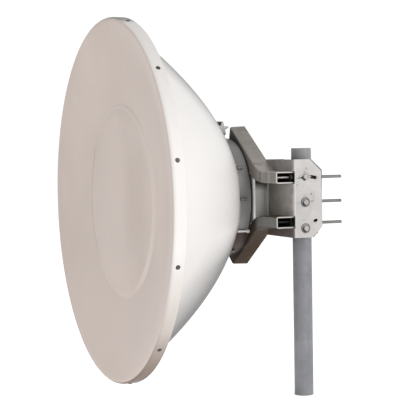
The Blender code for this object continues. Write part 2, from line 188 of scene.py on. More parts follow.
def grazing(tree, start, end):
    """One where a surface turns away from the viewer."""
    node = tree.nodes.new("ShaderNodeLayerWeight")
    node.inputs["Blend"].default_value = 0.5
    return above(tree, node.outputs["Facing"], start, end)


def bump(tree, height, strength, distance):
    node = tree.nodes.new("ShaderNodeBump")
    node.inputs["Strength"].default_value = strength
    node.inputs["Distance"].default_value = distance
    tree.links.new(height, node.inputs["Height"])
    return node.outputs["Normal"]


def scaled(colour, factor):
    return tuple(c * factor for c in colour)


def surface(mat, colour, rough, metallic, normal=None):
    tree = mat.node_tree
    shader = tree.nodes["Principled BSDF"]
    for value, name in ((colour, "Base Color"), (rough, "Roughness"), (metallic, "Metallic")):
        if isinstance(value, tuple):
            shader.inputs[name].default_value = (*value, 1.0)
        elif isinstance(value, (int, float)):
            shader.inputs[name].default_value = value
        else:
            tree.links.new(value, shader.inputs[name])
    if normal is not None:
        tree.links.new(normal, shader.inputs["Normal"])
    return shader


def radome_material():
    """Beige plastic with painted light and shade on its cover, round the step in its middle and on its skirt,
    and a dull stain on top.
    """
    mat, tree = new_material("radome_plastic")
    where = coords(tree)
    x, _, z = axes(tree)
    across = calculate(tree, "SUBTRACT", x, DISH_X)
    up = calculate(tree, "SUBTRACT", z, AXIS_Z)
    radius = calculate(tree, "SQRT", square_sum(tree, across, up))
    broad = noise(tree, where, 2.6, 3)
    base = blend(tree, above(tree, broad, 0.38, 0.62), (0.470, 0.400, 0.362), (0.510, 0.440, 0.400))

    # Cover: painted light along the right rim, painted light and painted shade in the middle, paler low down
    right_rim_light = product(tree, above(tree, radius, 0.52, 0.585, 0.55), above(tree, across, 0.10, 0.42))
    base = blend(tree, right_rim_light, base, (0.56, 0.49, 0.45))
    middle = below(tree, radius, 0.27, 0.30)
    pale = product(tree, middle, band(tree, across, -0.20, 0.02, 0.05), 0.5)
    base = blend(tree, pale, base, (0.545, 0.470, 0.430))
    middle_shade = product(tree, middle, band(tree, across, 0.05, 0.24, 0.04), band(tree, up, -0.14, 0.17, 0.06), 0.6)
    base = blend(tree, middle_shade, base, (0.440, 0.372, 0.336))
    base = blend(tree, below(tree, z, 0.15, 0.45, 0.5), base, (0.600, 0.515, 0.475))

    # Step round the middle: painted light on the right and above, painted shade on the left
    step = band(tree, radius, 0.3040, 0.3220, 0.0015)
    lit = calculate(tree, "MAXIMUM", above(tree, across, 0.10, 0.22), above(tree, up, 0.10, 0.24, 0.6))
    base = blend(tree, product(tree, step, lit), base, (0.575, 0.500, 0.458))
    step_shade = product(tree, band(tree, radius, 0.3040, 0.3210, 0.0020), below(tree, across, -0.285, -0.235, 0.9))
    base = blend(tree, step_shade, base, (0.22, 0.185, 0.165))

    # Skirt: painted light above, painted brown shade low down, and painted shade along its outline
    skirt = above(tree, radius, 0.5935, 0.5965)
    tone = blend(tree, above(tree, up, -0.50, -0.13), (0.37, 0.31, 0.272), (0.71, 0.68, 0.66))
    tone = blend(tree, below(tree, up, -0.575, -0.38), tone, (0.125, 0.082, 0.056))
    tone = blend(tree, grazing(tree, 0.80, 0.95), tone, (0.22, 0.21, 0.20))
    base = blend(tree, skirt, base, tone)
    stain = product(tree, skirt, above(tree, z, 1.203, 1.224))
    base = blend(tree, stain, base, (0.25, 0.24, 0.235))

    speck = noise(tree, where, 160.0, 2)
    surface(mat, base, spread(tree, broad, 0.50, 0.62), 0.0, bump(tree, speck, 0.10, 0.0005))
    return mat


def paint_material(name, colour, shade, roughness):
    """White powder coat with faint dirt, painted shade underneath and painted shade along its outline."""
    mat, tree = new_material(name)
    where = coords(tree)
    broad = noise(tree, where, 3.0, 4)
    base = blend(tree, above(tree, broad, 0.40, 0.75, 0.45), colour, shade)
    streak = noise(tree, coords(tree, (14, 14, 1.2)), 2.0, 5)
    base = blend(tree, above(tree, streak, 0.52, 0.80, 0.15), base, shade)
    # Painted shade on faces turned down and along the outline, darkest on the lower rim
    normal_z = axes(tree, "Normal")[2]
    base = blend(tree, below(tree, normal_z, -0.75, 0.10, 0.75), base, (0.44, 0.41, 0.39))
    base = blend(tree, grazing(tree, 0.86, 0.99), base, (0.40, 0.38, 0.36))
    upper_rim_shade = product(tree, grazing(tree, 0.74, 0.93), above(tree, normal_z, 0.30, 0.60, 0.9))
    base = blend(tree, upper_rim_shade, base, (0.20, 0.19, 0.18))
    lower_rim_shade = product(tree, grazing(tree, 0.58, 0.86), below(tree, normal_z, -0.36, -0.18))
    base = blend(tree, lower_rim_shade, base, (0.050, 0.048, 0.046))
    peel = noise(tree, where, 420.0, 2)
    gloss = spread(tree, broad, roughness - 0.05, roughness + 0.08)
    surface(mat, base, gloss, 0.0, bump(tree, peel, 0.08, 0.0003))
    return mat


def zinc_base(tree, light, dark, spangle=55.0, streaks=0.25):
    """Colour and patch pattern of galvanised steel: crystals, dull patches and faint runs."""
    where = coords(tree)
    cells = tree.nodes.new("ShaderNodeTexVoronoi")
    cells.inputs["Scale"].default_value = spangle
    tree.links.new(where, cells.inputs["Vector"])
    grey = tree.nodes.new("ShaderNodeRGBToBW")
    tree.links.new(cells.outputs["Color"], grey.inputs["Color"])
    patches = noise(tree, where, 9.0, 5)
    base = blend(tree, above(tree, patches, 0.35, 0.70), light, dark)
    tint = spread(tree, grey.outputs["Val"], 0.90, 1.05)
    colour = tree.nodes.new("ShaderNodeCombineColor")
    for channel in ("Red", "Green", "Blue"):
        tree.links.new(tint, colour.inputs[channel])
    base = blend(tree, 1.0, base, colour.outputs["Color"], "MULTIPLY")
    runs = noise(tree, coords(tree, (30, 30, 1.5)), 2.0, 4)
    return blend(tree, above(tree, runs, 0.50, 0.75, streaks), base, dark), patches


def zinc_finish(mat, base, patches, metallic, rough):
    tree = mat.node_tree
    fine = noise(tree, coords(tree), 300.0, 3)
    roughness = spread(tree, patches, rough - 0.08, rough + 0.12)
    surface(mat, base, roughness, metallic, bump(tree, fine, 0.10, 0.0003))
    return mat


def zinc_material(name, light, dark, metallic, rough, spangle=55.0, streaks=0.25):
    mat, tree = new_material(name)
    base, patches = zinc_base(tree, light, dark, spangle, streaks)
    return zinc_finish(mat, base, patches, metallic, rough)


def channel_inside(tree, z):
    """One inside either arm's channel, by height above and below the axis."""
    level = distance_from(tree, distance_from(tree, z, AXIS_Z), ARM_LEVEL)
    return below(tree, level, 0.01460, 0.01480)


def mark(tree, u, v, centre, size, strength):
    """A soft oval spot round a point of the plane of two coordinates."""
    across = calculate(tree, "DIVIDE", distance_from(tree, u, centre[0]), size[0])
    up = calculate(tree, "DIVIDE", distance_from(tree, v, centre[1]), size[1])
    return spread(tree, square_sum(tree, across, up), strength, 0.0, 0.3, 1.2)


# Dull spots on the bracket's side plate: place, half sizes, strength
SIDE_MARKS = [
    ((-0.0305, 0.7396), (0.0014, 0.0056), 0.75), ((-0.0270, 0.7370), (0.0030, 0.0016), 0.50),
    ((-0.0135, 0.6572), (0.0026, 0.0036), 0.95), ((-0.0102, 0.6349), (0.0052, 0.0018), 0.85),
    ((-0.0627, 0.6871), (0.0046, 0.0020), 0.45), ((-0.0600, 0.6307), (0.0024, 0.0026), 0.55),
    ((-0.0349, 0.6547), (0.0120, 0.0014), 0.35), ((-0.0395, 0.5754), (0.0130, 0.0014), 0.35),
    ((-0.0545, 0.7085), (0.0120, 0.0016), 0.90), ((-0.0160, 0.6100), (0.0050, 0.0150), 0.10),
    ((-0.0050, 0.6450), (0.0060, 0.0200), 0.10)]
MARK_COLOUR = (0.05, 0.047, 0.044)
CUT_EDGE = (0.055, 0.052, 0.050)
# Cut corners of the side plate: a point on the cut, and which way it faces
CUT_CORNERS = ((-0.0115, 0.768, 1), (-0.0047, 0.519, -1))


def bracket_material():
    """Pale side plates with a few marks, front plate in painted shade with grime, painted black shade inside
    the arms' channels.
    """
    mat, tree = new_material("galvanised_bracket")
    base, patches = zinc_base(tree, (0.475, 0.457, 0.447), (0.415, 0.398, 0.388), 40.0, 0.12)
    x, y, z = axes(tree)
    base = blend(tree, below(tree, z, 0.52, 0.60, 0.35), base, (0.39, 0.372, 0.362))
    for centre, size, strength in SIDE_MARKS:
        base = blend(tree, mark(tree, y, z, centre, size, strength), base, MARK_COLOUR)

    # Dark cut edges at the corners and at the rear, and a painted highlight along the fold
    for corner_y, corner_z, turn in CUT_CORNERS:
        off_y = product(tree, calculate(tree, "SUBTRACT", y, corner_y), 0.70)
        off_z = product(tree, calculate(tree, "SUBTRACT", z, corner_z), 0.72 * turn)
        edge = calculate(tree, "ADD", off_y, off_z)
        base = blend(tree, above(tree, edge, -0.0034, -0.0016), base, CUT_EDGE)
    rear = product(tree, above(tree, y, 0.0228, 0.0242), spread(tree, z, 0.15, 1.0, 0.66, 0.71))
    base = blend(tree, rear, base, CUT_EDGE)
    fold_highlight = product(tree, below(tree, y, -0.0685, -0.0670), above(tree, x, 0.0875, 0.0895))
    base = blend(tree, fold_highlight, base, (0.55, 0.53, 0.515))

    # Front plate: painted shade, darker to the far side, at the top and at the foot
    tone = blend(tree, above(tree, x, -0.06, 0.085), (0.185, 0.170, 0.155), (0.42, 0.395, 0.375))
    tone = blend(tree, above(tree, z, 0.725, 0.740, 0.8), tone, (0.27, 0.26, 0.25))
    tone = blend(tree, below(tree, z, 0.545, 0.560), tone, (0.095, 0.074, 0.069))
    grime = noise(tree, coords(tree), 28.0, 5)
    tone = blend(tree, above(tree, grime, 0.45, 0.65, 0.4), tone, (0.13, 0.12, 0.11))
    base = blend(tree, below(tree, y, -0.0735, -0.0690), base, tone)

    # Painted black shade inside the arms' channels
    inside_shade = product(tree, channel_inside(tree, z), below(tree, y, -0.0690, -0.0660),
                     below(tree, x, 0.0860, 0.0880))
    base = blend(tree, inside_shade, base, (0.008, 0.008, 0.008))
    return zinc_finish(mat, base, patches, 0.15, 0.45)


def arm_material(name, lateral, slanted, flange, near_flange, spots, stripes, metallic):
    """Galvanised channel: each face in its own tone of painted light and shade, pale cut edges, painted black
    shade inside.
    """
    mat, tree = new_material(name)
    x, y, z = axes(tree)
    base, patches = zinc_base(tree, flange, scaled(flange, 0.82), 55.0, 0.3)
    base = blend(tree, above(tree, x, -0.15, -0.07), base, near_flange)
    stain = noise(tree, coords(tree), 30.0, 3)
    base = blend(tree, above(tree, stain, 0.54, 0.66, 0.7), base, spots)

    # Web, by its facing, in tones of painted light and shade: upright near the bracket, slanted beyond the
    # bend, where the drum's shadow is painted
    front = below(tree, axes(tree, "Normal")[1], -0.95, -0.70)
    runs = noise(tree, coords(tree, (26, 26, 3)), 1.5, 3)
    near_tone = blend(tree, above(tree, runs, 0.42, 0.60, stripes), lateral, scaled(lateral, 0.55))
    far_web_shadow = blend(tree, above(tree, x, -0.210, -0.130), slanted, scaled(near_flange, 0.70))
    face = blend(tree, below(tree, x, -0.085, -0.050), near_tone, far_web_shadow)
    base = blend(tree, front, base, face)

    base = blend(tree, above(tree, x, 0.0820, 0.0826), base, (0.44, 0.42, 0.39))
    # Painted black shade inside the channel
    inside_shade = product(tree, channel_inside(tree, z), above(tree, y, -0.1275, -0.1271),
                     above(tree, x, -0.050, -0.030))
    base = blend(tree, inside_shade, base, (0.010, 0.010, 0.010))
    zinc_finish(mat, base, patches, metallic, 0.45)
    tree.nodes["Principled BSDF"].inputs["Specular IOR Level"].default_value = metallic * 2
    return mat


def web_material():
    """Upright channel: painted light towards its front corner fading into painted shade, painted shadow under
    the upper arm, painted shade and highlight on the front flange.
    """
    mat, tree = new_material("galvanised_web")
    base, patches = zinc_base(tree, (0.50, 0.49, 0.48), (0.42, 0.41, 0.40), 55.0, 0.2)
    x, y, z = axes(tree)
    # Panel: painted light fading into painted shade towards the rear, and painted shadow under the upper arm
    tone = blend(tree, above(tree, y, -0.112, -0.074), (0.98, 0.97, 0.95), (0.34, 0.33, 0.31))
    tone = blend(tree, above(tree, z, 0.664, 0.690), tone, (0.05, 0.046, 0.040))
    panel = product(tree, below(tree, x, -0.0912, -0.0905), above(tree, y, -0.1275, -0.1265))
    # Front flange: painted shade at its far edge, painted highlight at its near edge
    flange = blend(tree, above(tree, x, -0.098, -0.088), (0.20, 0.195, 0.19), (0.90, 0.89, 0.87))
    base = blend(tree, below(tree, y, -0.1275, -0.1265), base, flange)
    base = blend(tree, panel, base, tone)
    return zinc_finish(mat, base, patches, 0.0, 0.45)


def cradle_material():
    """Clamp steel, painted black shade on the hidden front and outer faces."""
    mat, tree = new_material("galvanised_cradle")
    base, patches = zinc_base(tree, (0.34, 0.335, 0.33), (0.26, 0.255, 0.25))
    x, y, z = axes(tree)
    outside = above(tree, distance_from(tree, x, 0.0), 0.0802, 0.0807)
    pale = product(tree, outside, above(tree, z, 0.66, 0.67))
    base = blend(tree, pale, base, (0.60, 0.58, 0.56))
    # Painted black shade on the front faces and at the rear of the outer faces
    rear_outside = product(tree, outside, above(tree, y, -0.0100, -0.0080))
    dark = calculate(tree, "MAXIMUM", below(tree, y, -0.0355, -0.0345), rear_outside)
    base = blend(tree, dark, base, (0.012, 0.012, 0.012))
    return zinc_finish(mat, base, patches, 0.3, 0.45)


def drum_material():
    """Dull aluminium, drawn round the drum, with painted brown shade low down."""
    mat, tree = new_material("drum_aluminium")
    lines = noise(tree, coords(tree, (2.0, 160.0, 2.0)), 3.0, 4)
    patches = noise(tree, coords(tree), 7.0, 4)
    base = blend(tree, above(tree, patches, 0.35, 0.70), (0.232, 0.225, 0.220), (0.158, 0.151, 0.147))
    z = axes(tree)[2]
    # Painted brown shade where the drum faces down
    base = blend(tree, below(tree, z, 0.524, 0.545), base, (0.046, 0.029, 0.021))
    shader = surface(mat, base, spread(tree, lines, 0.38, 0.52), 0.12, bump(tree, lines, 0.08, 0.0003))
    shader.inputs["Specular IOR Level"].default_value = 0.2
    return mat


def plain_material(name, colour, metallic, rough, variation=0.15, outline=None):
    """Small parts: a little uneven in tone and gloss, some with painted shade along their outline."""
    mat, tree = new_material(name)
    where = coords(tree)
    patches = noise(tree, where, 40.0, 4)
    dark = scaled(colour, 1 - variation * 2)
    base = blend(tree, above(tree, patches, 0.35, 0.70), colour, dark)
    # Painted shade along the outline
    if outline is not None:
        base = blend(tree, grazing(tree, 0.45, 0.95), base, outline)
    fine = noise(tree, where, 200.0, 3)
    gloss = spread(tree, patches, rough - 0.05, rough + 0.10)
    surface(mat, base, gloss, metallic, bump(tree, fine, 0.06, 0.0003))
    return mat


# One material for each look, with linear colours
RADOME = radome_material()
WHITE = paint_material("white_powder_coat", (0.72, 0.70, 0.685), (0.68, 0.66, 0.64), 0.40)
BRACKET = bracket_material()
UPPER_ARM = arm_material(
    "galvanised_upper_arm", lateral=(0.35, 0.33, 0.305), slanted=(0.055, 0.050, 0.046),
    flange=(0.27, 0.25, 0.225), near_flange=(0.35, 0.315, 0.29), spots=(0.19, 0.155, 0.135),
    stripes=0.7, metallic=0.25)
# Lower arm: the same steel as the upper arm, in tones of painted shade, darker and browner
LOWER_ARM = arm_material(
    "galvanised_lower_arm", lateral=(0.185, 0.183, 0.172), slanted=(0.022, 0.013, 0.009),
    flange=(0.045, 0.025, 0.014), near_flange=(0.064, 0.046, 0.036), spots=(0.105, 0.058, 0.010),
    stripes=0.3, metallic=0.03)
WEB = web_material()
CLAMP_METAL = zinc_material("galvanised_clamp", (0.34, 0.335, 0.33), (0.26, 0.255, 0.25), 0.35, 0.45)
CRADLE = cradle_material()
POLE_METAL = zinc_material(
    "galvanised_post", (0.235, 0.240, 0.250), (0.165, 0.170, 0.180), 0.15, 0.50, 40.0, 0.4)
DRUM_METAL = drum_material()
RING_METAL = plain_material("ring_aluminium", (0.62, 0.61, 0.60), 0.5, 0.40)
# Mounting ring near black: painted shade of the groove at the drum's end
RING_SHADE = plain_material("ring_painted_shade", (0.040, 0.038, 0.036), 0.2, 0.50)
FASTENER = plain_material("stainless_fastener", (0.46, 0.45, 0.43), 0.5, 0.36)
BOLT_HEAD = plain_material("dull_head", (0.38, 0.372, 0.36), 0.2, 0.42)
# Through bolts pale as a painted highlight, where the hardware catches light
LIT_BOLT = plain_material("bolt_painted_highlight", (0.70, 0.68, 0.66), 0.3, 0.38, outline=(0.08, 0.07, 0.06))
STAR_WASHER = plain_material("star_washer", (0.37, 0.36, 0.345), 0.1, 0.45)
WASHER = plain_material("zinc_washer", (0.19, 0.185, 0.18), 0.3, 0.42)
WASHER_SHADOW = plain_material("washer_contact_shadow", (0.065, 0.062, 0.060), 0.2, 0.45)
SHADOW_RING = plain_material("painted_head_shadow", (0.015, 0.015, 0.015), 0.0, 0.60)
DARK_SCREW = plain_material("dark_screw", (0.10, 0.09, 0.08), 0.5, 0.45)
# Lower arm screws near black: painted shade inside the lower channel
SCREW_IN_SHADE = plain_material("screw_painted_shade", (0.012, 0.011, 0.010), 0.1, 0.55)
BOSS_METAL = plain_material("grey_boss", (0.17, 0.168, 0.16), 0.3, 0.45, outline=(0.03, 0.03, 0.03))
ROD_METAL = plain_material("zinc_rod", (0.20, 0.20, 0.195), 0.3, 0.45, outline=(0.03, 0.03, 0.03))
RUBBER = plain_material("black_rubber", (0.022, 0.020, 0.019), 0.0, 0.60)
CAP_GREY = plain_material("grey_cap", (0.24, 0.25, 0.255), 0.0, 0.50, 0.05)
DARK_BRACKET = plain_material("dark_bracket", (0.045, 0.042, 0.040), 0.2, 0.50)
KNOB_METAL = plain_material("cast_knob", (0.44, 0.43, 0.42), 0.10, 0.45, 0.10, (0.06, 0.06, 0.06))


def place_object(name, mesh, mat, body, covers=(), angle=35):
    """Link a mesh with its material, shade it smooth up to an angle, and give it its body and nodes."""
    mesh.materials.clear()
    mesh.materials.append(mat)
    obj = bpy.data.objects.new(name, mesh)
    bpy.context.collection.objects.link(obj)
    mesh.shade_smooth()
    mesh.set_sharp_from_angle(angle=math.radians(angle))
    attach(obj, body)
    if covers:
        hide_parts(*covers)
    return obj


def mesh_from(bm, name):
    mesh = bpy.data.meshes.new(name)
    bm.to_mesh(mesh)
    bm.free()
    return mesh


def add_object(name, bm, mat, body, covers=(), angle=35):
    bmesh.ops.recalc_face_normals(bm, faces=bm.faces)
    place_object(name, mesh_from(bm, name), mat, body, covers, angle)


def frame_at(place, axis):
    """Matrix that takes local +Z to an axis at a place."""
    return Matrix.Translation(place) @ Vector(axis).to_track_quat("Z", "Y").to_matrix().to_4x4()


def hex_radius(radius, angle):
    """Distance to a hexagon's outline, from half its width across flats."""
    return radius / math.cos((angle + math.pi / 6) % (math.pi / 3) - math.pi / 6)


def sweep(bm, profile, count, matrix, closed=False):
    """Turn (radius, height) or (radius, height, 'hex') points round local Z."""
    rings = []
    for point in profile:
        radius, height = point[0], point[1]
        if radius == 0:
            rings.append([bm.verts.new(matrix @ Vector((0, 0, height)))])
            continue
        ring = []
        for i in range(count):
            a = 2 * math.pi * i / count
            r = hex_radius(radius, a) if len(point) > 2 else radius
            ring.append(bm.verts.new(matrix @ Vector((r * math.cos(a), r * math.sin(a), height))))
        rings.append(ring)
    pairs = list(zip(rings, rings[1:]))
    if closed:
        pairs.append((rings[-1], rings[0]))
    for first, second in pairs:
        for i in range(count):
            j = (i + 1) % count
            if len(first) == 1:
                bm.faces.new((first[0], second[i], second[j]))
            elif len(second) == 1:
                bm.faces.new((first[i], first[j], second[0]))
            else:
                bm.faces.new((first[i], first[j], second[j], second[i]))


def layered(bm, outlines):
    """Close a stack of equal point loops into one body."""
    rings = [[bm.verts.new(p) for p in outline] for outline in outlines]
    bm.faces.new(rings[0])
    bm.faces.new(rings[-1])
    for first, second in zip(rings, rings[1:]):
        for i in range(len(first)):
            j = (i + 1) % len(first)
            bm.faces.new((first[i], first[j], second[j], second[i]))


def soften(profile, radius, steps):
    """Round each inner corner of an open (radius, height) profile."""
    points = [Vector(p) for p in profile]
    out = [points[0]]
    for before, corner, after in zip(points, points[1:], points[2:]):
        back = before - corner
        ahead = after - corner
        reach = min(radius, back.length * 0.45, ahead.length * 0.45)
        start = corner + back.normalized() * reach
        end = corner + ahead.normalized() * reach
        for i in range(steps + 1):
            t = i / steps
            out.append((1 - t) ** 2 * start + 2 * t * (1 - t) * corner + t ** 2 * end)
    out.append(points[-1])
    return [(p.x, p.y) for p in out]


DISH_FRAME = frame_at((DISH_X, 0, AXIS_Z), (0, 1, 0))


def dish_turned(name, profile, mat, covers, closed=False):
    """A piece turned about the dish's axis; profile heights are world Y."""
    bm = bmesh.new()
    sweep(bm, profile, FINE, DISH_FRAME, closed)
    add_object(name, bm, mat, "dish", covers)


def shell_y(radius):
    return VERTEX_Y - radius * radius / FOUR_FOCAL


# Radome: dished in, with a flatter middle behind a step, a round rim and a skirt
outer = soften([
    (0, -0.5150), (0.3090, -0.5215), (0.3200, -0.5155), (0.5780, -0.5640), (0.5880, -0.5652),
    (0.5945, -0.5635), (0.5985, -0.5600), (RADOME_RADIUS, -0.5550), (RADOME_RADIUS, SKIRT_END_Y)],
    radius=0.006, steps=4)
inner = [
    (0.5962, SKIRT_END_Y), (0.5960, -0.5560), (0.5870, -0.5610), (0.5787, -0.5600), (0.3195, -0.5113),
    (0.3082, -0.5174), (0, -0.5110)]
dish_turned("radome_cover", outer + inner, RADOME, ("radome",))

# Reflector: flat centre, then the paraboloid
back = [(CENTRE_BORE, CENTRE_PLATE_Y), (CENTRE_RADIUS, CENTRE_PLATE_Y)]
front = []
for i in range(SHELL_STEPS + 1):
    r = SHELL_START + (SHELL_RIM - SHELL_START) * i / SHELL_STEPS
    y = shell_y(r)
    slope = 2 * r / FOUR_FOCAL
    length = math.hypot(1, slope)
    back.append((r, y))
    front.append((r - SHELL_THICKNESS * slope / length, y - SHELL_THICKNESS / length))
loop = back + [(SHELL_RIM, SHELL_END_Y)] + front[::-1] + [(CENTRE_BORE, CENTRE_PLATE_Y - SHELL_THICKNESS)]
dish_turned("reflector_shell", loop, WHITE, ("reflector",), closed=True)
dish_turned("rim_flange_ring", [
    (0.5627, -0.5270), (0.5947, -0.5270), (0.5957, -0.5280), (0.5957, -0.5520), (0.5927, -0.5520),
    (0.5927, -0.5300), (0.5627, -0.5300)], WHITE, ("rim_flange",), closed=True)

# Drum, gasket and ring
dish_turned("drum_wall", [
    (DRUM_INNER, shell_y(DRUM_INNER) + CLEARANCE), (DRUM_OUTER, shell_y(DRUM_OUTER) + CLEARANCE),
    (DRUM_OUTER, -0.1390), (0.1992, DRUM_END_Y), (DRUM_INNER, DRUM_END_Y)],
    DRUM_METAL, ("back_drum",), closed=True)
dish_turned("drum_gasket_ring", [
    (DRUM_INNER, -0.1375), (0.1986, -0.1375), (0.1990, -0.1370), (0.1990, -0.1350), (0.1986, -0.1345),
    (DRUM_INNER, -0.1345)], RUBBER, ("drum_gasket",), closed=True)
# The ring's near-black colour is painted shade
dish_turned("mounting_ring_plate", [
    (0.1650, -0.1338), (0.1654, -0.1342), (0.1991, -0.1342), (0.1995, -0.1338), (0.1995, -0.1317),
    (0.1991, -0.1313), (0.1654, -0.1313), (0.1650, -0.1317)], RING_SHADE,
    ("mounting_ring",), closed=True)

# Screws round the radome's skirt
RIM_SCREWS = 12
FIRST_RIM_SCREW_DEG = -73
RIM_SCREW_FOOT = 0.5972
RIM_SCREW_PROFILE = [
    (0, 0.0012), (0.0072, 0.0012), (0.0072, 0.0032), (0.0066, 0.0036), (0.0046, 0.0036, "hex"),
    (0.0046, 0.0048, "hex"), (0.0042, 0.0052, "hex"), (0, 0.0052)]
bm = bmesh.new()
for k in range(RIM_SCREWS):
    a = math.radians(FIRST_RIM_SCREW_DEG + k * 360 / RIM_SCREWS)
    out = Vector((math.cos(a), 0, -math.sin(a)))
    place = Vector((DISH_X, SKIRT_MIDDLE_Y, AXIS_Z)) + out * RIM_SCREW_FOOT
    sweep(bm, RIM_SCREW_PROFILE, ROUND_BOLT, frame_at(place, out))
add_object("rim_screws", bm, DARK_SCREW, "dish")

# Bosses and bolts along the drum: short ones near the shell, through bolts between them
BOSS_CIRCLE = 0.2042
BOSS_START_Y = -0.1770
BOSS_END_Y = -0.1562
BOSS_PROFILE = [
    (0, BOSS_START_Y), (0.0048, BOSS_START_Y), (0.0056, BOSS_START_Y + 0.0016),
    (0.0056, BOSS_END_Y - 0.0014), (0.0048, BOSS_END_Y), (0, BOSS_END_Y)]
THROUGH_BOLT_PROFILE = [
    (0, BOSS_START_Y), (0.0040, BOSS_START_Y), (0.0040, -0.1440), (0.0068, -0.1436),
    (0.0068, -0.1420), (0.0060, -0.1418, "hex"), (0.0060, -0.1358, "hex"), (0.0054, -0.1350),
    (0, -0.1350)]
bosses = bmesh.new()
bolts = bmesh.new()
for bm, profile, angles in (
        (bosses, BOSS_PROFILE, (30, 0, 90, 120, 150, 180, -60, -90, -120, -150)),
        (bolts, THROUGH_BOLT_PROFILE, (-31.5, 148.5))):
    for angle in angles:
        a = math.radians(angle)
        place = Vector((DISH_X, 0, AXIS_Z)) + Vector((math.cos(a), 0, math.sin(a))) * BOSS_CIRCLE
        sweep(bm, profile, ROUND_BOLT, frame_at(place, (0, 1, 0)))
add_object("drum_bosses", bosses, BOSS_METAL, "dish")
# The through bolts' pale colour is a painted highlight
add_object("drum_through_bolts", bolts, LIT_BOLT, "dish")


THREAD_SIDES = 14
THREAD_PITCH = 0.00125
THREAD_ROOT = 0.00465


def threaded(bm, matrix, end):
    """Shaft with a shallow helical thread along local Z, from zero to its end."""
    turns = int(end / THREAD_PITCH)
    rows = []
    for row in range(turns * 2 + 1):
        r = BOLT_RADIUS if row % 2 == 0 else THREAD_ROOT
        ring = []
        for i in range(THREAD_SIDES):
            a = 2 * math.pi * i / THREAD_SIDES
            h = min(THREAD_PITCH * (row / 2 + i / THREAD_SIDES), end)
            ring.append(bm.verts.new(matrix @ Vector((r * math.cos(a), r * math.sin(a), h))))
        rows.append(ring)
    for first, second in zip(rows, rows[1:]):
        for i in range(THREAD_SIDES - 1):
            bm.faces.new((first[i], first[i + 1], second[i + 1], second[i]))
    for row in range(len(rows) - 3):
        bm.faces.new((rows[row][-1], rows[row + 2][0], rows[row + 3][0], rows[row + 1][-1]))
    bm.faces.new(rows[0])
    bm.faces.new(rows[-1])


# Clamp rods and their nuts
HEAD_BACK_Y = WEB_FRONT_Y - CLEARANCE
HEAD_FRONT_Y = WEB_FRONT_Y - 0.0073
ROD_HEAD_PROFILE = [
    (0, HEAD_FRONT_Y), (0.0072, HEAD_FRONT_Y), (0.0080, HEAD_FRONT_Y + 0.0007, "hex"),
    (0.0080, HEAD_BACK_Y, "hex"), (BOLT_RADIUS, HEAD_BACK_Y), (BOLT_RADIUS, 0), (0.0046, 0.0005),
    (0, 0.0005)]
NUT_HALF = 0.008
NUT_BORE = 0.0053
NUT_CHAMFER = 0.0008
NUT_PROFILE = [
    (NUT_BORE, NUT_Y), (NUT_HALF * 0.93, NUT_Y), (NUT_HALF, NUT_Y + NUT_CHAMFER, "hex"),
    (NUT_HALF, NUT_Y + NUT_HEIGHT - NUT_CHAMFER, "hex"), (NUT_HALF * 0.93, NUT_Y + NUT_HEIGHT),
    (NUT_BORE, NUT_Y + NUT_HEIGHT)]
for level, z in ROD_LEVELS.items():
    for hand, x in (("near", ROD_X), ("far", -ROD_X)):
        matrix = frame_at((x, 0, z), (0, 1, 0))
        tail = level + "_" + hand
        bm = bmesh.new()
        sweep(bm, ROD_HEAD_PROFILE, ROUND_BOLT, matrix)
        threaded(bm, matrix, ROD_END_Y[hand])
        add_object("threaded_rod_" + tail, bm, ROD_METAL, "clamp",
                   ("clamp_rod_" + tail,), angle=60)
        bm = bmesh.new()
        sweep(bm, NUT_PROFILE, ROUND_BOLT, matrix, True)
        add_object("rod_nut_" + tail, bm, FASTENER, "clamp", ("clamp_nut_" + tail,))


WASHER_RADIUS = 0.0142
WASHER_RIM_RADIUS = 0.0156
STAR_HALF_WIDTH = 0.0225
STAR_HALF_HEIGHT = 0.0160
STAR_POWER = 0.85


def washer_radius(level, angle):
    """Round washer, or the upper bolt's one with four points."""
    if level != "upper":
        return WASHER_RADIUS
    wide = abs(math.cos(angle) / STAR_HALF_WIDTH) ** STAR_POWER
    high = abs(math.sin(angle) / STAR_HALF_HEIGHT) ** STAR_POWER
    return (wide + high) ** (-1 / STAR_POWER)


def flat_ring(name, level, face, side, sizes, mat, shift=(0, 0)):
    """Thin plate with the washer's outline, from (scale, height) steps."""
    outlines = []
    for size, height in sizes:
        outline = []
        for i in range(ROUND_WASHER):
            a = 2 * math.pi * i / ROUND_WASHER
            r = washer_radius(level, a) * size
            outline.append((side * (face + height), PIVOT_Y + shift[0] + r * math.cos(a),
                            BOLT_LEVELS[level] + shift[1] + r * math.sin(a)))
        outlines.append(outline)
    bm = bmesh.new()
    layered(bm, outlines)
    add_object(name, bm, mat, "clamp")


